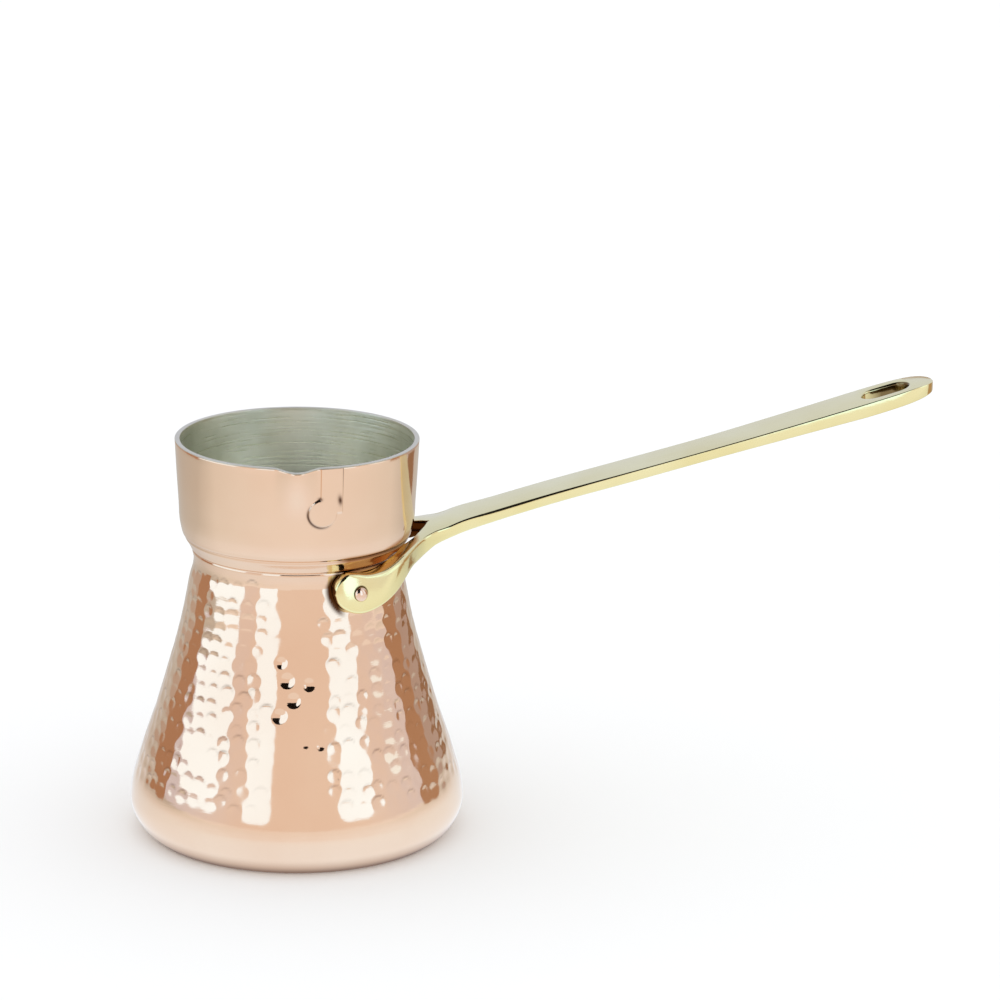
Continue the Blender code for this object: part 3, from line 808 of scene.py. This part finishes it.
# Arm: inner x and y, outer x and y, top and bottom.
ARM_ROWS = (
    (36.0, 0.0, 39.6, 7.5, 84.4, 81.0), (34.1, 2.7, 36.4, 8.5, 83.7, 79.8),
    (32.2, 5.4, 33.6, 10.2, 82.9, 78.2), (29.8, 8.7, 31.0, 12.9, 82.1, 76.9),
    (26.5, 12.4, 28.9, 15.8, 81.3, 75.9),
)
# Ear: angle round the neck in degrees, outer radius, top and bottom.
EAR_ROWS = (
    (36.0, 32.9, 80.4, 73.9), (44.0, 32.8, 79.1, 71.5), (52.0, 32.5, 78.0, 69.6),
    (60.0, 32.1, 77.9, 68.2), (67.0, 31.8, 78.6, 67.9), (72.0, 31.6, 78.8, 68.6),
    (75.5, 31.4, 77.9, 69.8), (77.8, 31.3, 76.6, 71.3), (78.8, 31.2, 75.3, 73.1),
)
EAR_LEAN = 0.16
EAR_SEAT = 0.15
EAR_TOP_EDGE, EAR_BOTTOM_EDGE, INNER_EDGE = 1.3, 1.1, 0.25


# Each row of the casting has four corners: top inner, top outer, bottom outer, bottom inner.
# After them come the edge roundings in mm: of the two outer edges and of the two inner edges.
def bar_row(x, y, top, thickness, top_edge):
    """A row of the bar, from its middle plane out to one side."""
    bottom = top - thickness
    return (x, 0, top), (x, y, top), (x, y, bottom), (x, 0, bottom), top_edge, BAR_EDGE, 0.0


end_rows = []
start_x, half_width, start_top, thickness = BAR_ROWS[-1]
for turn in np.radians(np.linspace(89.5, 6.0, 20)):
    share = math.sin(turn) ** (2 / BAR_END_POWER)
    along = (BAR_END_X - start_x) * share
    across = math.cos(turn) ** (2 / BAR_END_POWER)
    rounding = share**6
    thinned = thickness * (1.0 - BAR_END_THINNING * rounding)
    top = start_top + BAR_END_SLOPE * along - BAR_END_DROP * rounding
    end_rows.append(bar_row(start_x + along, half_width * across, top, thinned, BAR_EDGE))
key_rows = []
for x, y, top, thickness in reversed(BAR_ROWS):
    soft = float(np.interp(x, BAR_EDGE_AT, BAR_TOP_EDGE))
    key_rows.append(bar_row(x, y, top, thickness, soft))
for number, (inner_x, inner_y, outer_x, outer_y, top, bottom) in enumerate(ARM_ROWS):
    soft = 0.45 + 0.12 * number
    key_rows.append(
        ((inner_x, inner_y, top), (outer_x, outer_y, top), (outer_x, outer_y, bottom),
         (inner_x, inner_y, bottom), soft, soft, INNER_EDGE * min(number, 1))
    )
for degrees, outer, top, bottom in EAR_ROWS:
    turn = math.radians(degrees)
    lean = EAR_LEAN * min(max((degrees - 36.0) / 16.0, 0.0), 1.0) * (top - bottom) / 2
    heights = np.linspace(bottom, top, 12)
    inner = float(wall_radius(heights).max()) + EAR_SEAT
    high, low = float(wall_radius(top)) + EAR_SEAT, float(wall_radius(bottom)) + EAR_SEAT
    if degrees < 40.0:
        high = low = inner
    key_rows.append(
        ((high * math.cos(turn), high * math.sin(turn), top),
         ((outer - lean) * math.cos(turn), (outer - lean) * math.sin(turn), top),
         ((outer + lean) * math.cos(turn), (outer + lean) * math.sin(turn), bottom),
         (low * math.cos(turn), low * math.sin(turn), bottom),
         EAR_TOP_EDGE, EAR_BOTTOM_EDGE, INNER_EDGE)
    )


def flatten_row(row):
    """One row as a flat list of its 12 corner numbers and 3 roundings."""
    return [value for corner in row[:4] for value in corner] + list(row[4:])


keys = np.array([flatten_row(row) for row in key_rows])
gaps = np.linalg.norm(np.diff(keys[:, 3:6], axis=0), axis=1)
stops = np.concatenate(((0.0,), np.cumsum(gaps)))
slopes = np.gradient(keys, stops, axis=0)
BAR_STEP, ARM_STEP = 2.0, 0.7
fine_rows = [np.array(flatten_row(row)) for row in end_rows]
for number, gap in enumerate(gaps):
    step_length = BAR_STEP if number < len(BAR_ROWS) - 1 else ARM_STEP
    steps = max(2, int(gap / step_length))
    for step in range(steps):
        t = step / steps
        fine_rows.append(
            (2 * t**3 - 3 * t**2 + 1) * keys[number]
            + (t**3 - 2 * t**2 + t) * gap * slopes[number]
            + (-2 * t**3 + 3 * t**2) * keys[number + 1]
            + (t**3 - t**2) * gap * slopes[number + 1]
        )
fine_rows.append(keys[-1])


def rounded_corner(before, corner, after, rounding, count):
    """Points of a small arc that rounds one corner of a row."""
    back, ahead = before - corner, after - corner
    back_length, ahead_length = np.linalg.norm(back), np.linalg.norm(ahead)
    rounding = max(0.0, min(rounding, 0.45 * back_length, 0.45 * ahead_length))
    turn = np.linspace(0.0, math.pi / 2, count)[:, None]
    back, ahead = back / max(back_length, 1e-9), ahead / max(ahead_length, 1e-9)
    return corner + rounding * (back * (1.0 - np.sin(turn)) + ahead * (1.0 - np.cos(turn)))


def close_ends(threshold):
    """Merges the doubles of the piece in hand, fills its open ends and turns its faces outwards."""
    bpy.ops.object.mode_set(mode="EDIT")
    bpy.ops.mesh.select_all(action="SELECT")
    bpy.ops.mesh.remove_doubles(threshold=threshold)
    bpy.ops.mesh.select_all(action="DESELECT")
    bpy.ops.mesh.select_non_manifold(extend=False)
    bpy.ops.mesh.edge_face_add()
    bpy.ops.mesh.select_all(action="SELECT")
    bpy.ops.mesh.normals_make_consistent(inside=False)
    bpy.ops.object.mode_set(mode="OBJECT")


outline = []
for row in fine_rows:
    inner_top, outer_top, outer_bottom, inner_bottom = row[:12].reshape(4, 3)
    for corner in (inner_top, inner_bottom):
        corner[1] = max(corner[1], 0.0)
    top_soft, bottom_soft, inner_soft = row[12:]
    ring = [
        rounded_corner(inner_bottom, inner_top, outer_top, inner_soft, 4),
        rounded_corner(inner_top, outer_top, outer_bottom, top_soft, 6),
        rounded_corner(outer_top, outer_bottom, inner_bottom, bottom_soft, 6),
        rounded_corner(outer_bottom, inner_bottom, inner_top, inner_soft, 4),
    ]
    outline.append(np.concatenate(ring + [ring[0][:1]]))
outline = np.array(outline)
columns, along_count = outline.shape[1], outline.shape[0]
brass_handle, across, up = bent_grid("brass_handle", columns - 1, along_count - 1)
row_now = np.round(up * (along_count - 1)).astype(int)
column_now = np.round(across * (columns - 1)).astype(int)
place_points(brass_handle, outline[row_now, column_now] * MM)
bpy.ops.object.mode_set(mode="EDIT")
bpy.ops.mesh.select_all(action="SELECT")
bpy.ops.mesh.remove_doubles(threshold=0.004 * MM)
bpy.ops.mesh.select_mode(type="FACE")
bpy.ops.mesh.select_all(action="DESELECT")
bpy.ops.object.mode_set(mode="OBJECT")
middle = [abs(vertex.co.y) < 0.002 * MM for vertex in brass_handle.data.vertices]
for polygon in brass_handle.data.polygons:
    polygon.select = all(middle[corner] for corner in polygon.vertices)
bpy.ops.object.mode_set(mode="EDIT")
bpy.ops.mesh.delete(type="FACE")
bpy.ops.mesh.select_mode(type="VERT")
bpy.ops.object.mode_set(mode="OBJECT")
mirror = brass_handle.modifiers.new("other_half", "MIRROR")
mirror.use_axis = (False, True, False)
mirror.use_clip = True
mirror.merge_threshold = 0.02 * MM
bpy.ops.object.modifier_apply(modifier=mirror.name)
close_ends(0.004 * MM)
bpy.ops.object.shade_smooth_by_angle(angle=math.radians(32.0))

# Hanging slot: milled straight down through the bar, its edges rounded over top and bottom.
SLOT_CENTRE_X = 161.2
SLOT_LENGTH = 12.6
SLOT_WIDTH = 7.6
SLOT_ROUNDING = 0.70
SLOT_WALL = 3.86
sink = np.radians(np.linspace(0.0, 90.0, 6))
flare = SLOT_ROUNDING * (1.0 - np.sin(sink))
down = SLOT_ROUNDING * (1.0 - np.cos(sink))
slot_rings = [(-2.0, flare[0] + 0.6)] + list(zip(down, flare))
slot_rings += [(SLOT_WALL - depth, wide) for depth, wide in reversed(slot_rings[1:])]
slot_rings += [(SLOT_WALL + 2.0, flare[0] + 0.6)]
slot_rings = np.array(slot_rings)
slot_cutter, across, up = bent_grid("slot_cutter", 64, len(slot_rings) - 1)
ring_now = slot_rings[np.round(up * (len(slot_rings) - 1)).astype(int)]
turn = math.tau * across
reach = SLOT_WIDTH / 2 + ring_now[:, 1]
half_straight = (SLOT_LENGTH - SLOT_WIDTH) / 2
end_side = np.sign(np.round(np.cos(turn), 6))
x = SLOT_CENTRE_X + reach * np.cos(turn) + half_straight * end_side
z = start_top + BAR_END_SLOPE * (x - start_x) - ring_now[:, 0]
place_points(slot_cutter, np.stack((x, reach * np.sin(turn), z), axis=1) * MM)
close_ends(0.001 * MM)
slot = brass_handle.modifiers.new("hanging_slot", "BOOLEAN")
slot.operation = "DIFFERENCE"
slot.solver = "EXACT"
slot.object = slot_cutter
bpy.ops.object.select_all(action="DESELECT")
brass_handle.select_set(True)
bpy.context.view_layer.objects.active = brass_handle
bpy.ops.object.modifier_apply(modifier=slot.name)
bpy.data.objects.remove(slot_cutter)
bpy.ops.object.shade_smooth_by_angle(angle=math.radians(32.0))

# Painted shade: the sides that face the pot, and the slot's far end, are painted nearly black.
painted_inner_shade = np.zeros(len(brass_handle.data.vertices))
for number, vertex in enumerate(brass_handle.data.vertices):
    to_axis = -Vector((vertex.co.x, vertex.co.y, 0.0)).normalized()
    near = min(max((0.050 - vertex.co.xy.length) / 0.006, 0.0), 1.0)
    near *= min(max((0.55 - vertex.normal.z) / 0.25, 0.0), 1.0)
    painted_inner_shade[number] = near * min(max((vertex.normal.dot(to_axis) - 0.15) / 0.35, 0.0), 1.0)
    x, y = vertex.co.x / MM, vertex.co.y / MM
    if 153.0 < x < 169.0 and abs(y) < 4.3 and vertex.normal.z < 0.8:
        painted_inner_shade[number] = min(max((x - 156.0) / 6.0, 0.1), 0.85)
layer = brass_handle.data.attributes.new("painted_inner_shade", "FLOAT", "POINT")
layer.data.foreach_set("value", painted_inner_shade.astype(np.float32))

brass_polished, tree, shader, where, _ = metal_surface(
    "brass_polished",
    colour=(0.90, 0.86, 0.51),
    deep_colour=(0.86, 0.80, 0.43),
    roughness=0.11,
    cloud_scale=60.0,
    scratch_depth=0.35,
    wave_depth=0.22,
)
# Painted shade: the brass goes nearly black on its inner faces and at the slot's far end.
layer = add_node(tree, "ShaderNodeAttribute", attribute_name="painted_inner_shade")
darken_by(tree, shader, layer.outputs["Fac"], (0.10, 0.045, 0.012))
# A dark seam runs round each rivet head.
HEAD_X, HEAD_Y, HEAD_Z = 0.0131, 0.0296, 0.0735
SEAM_OUTER, SEAM_INNER = 0.00235, 0.00205
for side in (-1.0, 1.0):
    from_rivet = add_node(tree, "ShaderNodeVectorMath", operation="DISTANCE")
    from_rivet.inputs[1].default_value = (HEAD_X, side * HEAD_Y, HEAD_Z)
    tree.links.new(where.outputs["Object"], from_rivet.inputs[0])
    seam = add_node(tree, "ShaderNodeMapRange")
    seam.inputs["From Min"].default_value = SEAM_OUTER
    seam.inputs["From Max"].default_value = SEAM_INNER
    tree.links.new(from_rivet.outputs["Value"], seam.inputs["Value"])
    darken_by(tree, shader, seam.outputs["Result"], (0.10, 0.06, 0.02))
brass_handle.data.materials.append(brass_polished)
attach(brass_handle, "root")
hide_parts("handle")

# ---------------------------------------------------------------------------------------------
# Rivets.
# Two solid copper rivets, one through each ear, with low domed heads hammered outside.

RIVET_ANGLE = math.radians(66.1)
RIVET_HEIGHT = 73.2
RIVET_TILT = math.radians(9.5)
RIVET_FACE_RADIUS = 32.0
RIVET_STEPS = 48
rivet_section = [
    (0.0, 1.02), (0.5, 0.985), (0.95, 0.88), (1.35, 0.69), (1.65, 0.47), (1.84, 0.24),
    (1.92, 0.05), (1.90, -0.10), (1.22, -0.15), (1.22, -4.4), (2.1, -4.45), (2.15, -4.6),
    (1.9, -4.95), (0.0, -5.1),
]
for name, node, side in (("front_rivet", "rivet_front", -1.0), ("back_rivet", "rivet_back", 1.0)):
    rivet = turn_section(name, rivet_section, RIVET_STEPS)
    angle = side * RIVET_ANGLE
    flat_out = Vector((math.cos(angle), math.sin(angle), 0.0))
    outward = flat_out * math.cos(RIVET_TILT) + Vector((0.0, 0.0, math.sin(RIVET_TILT)))
    place = (flat_out * RIVET_FACE_RADIUS + Vector((0.0, 0.0, RIVET_HEIGHT))) * MM
    turned = outward.to_track_quat("Z", "Y").to_matrix().to_4x4()
    rivet.data.transform(Matrix.Translation(place) @ turned)
    copper_rivet = metal_surface(
        "copper_" + name,
        colour=(0.90, 0.70, 0.57),
        deep_colour=(0.84, 0.60, 0.46),
        roughness=0.12,
        cloud_scale=400.0,
        scratch_depth=0.4,
        wave_depth=0.3,
    )[0]
    rivet.data.materials.append(copper_rivet)
    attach(rivet, "root")
    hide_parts(node)
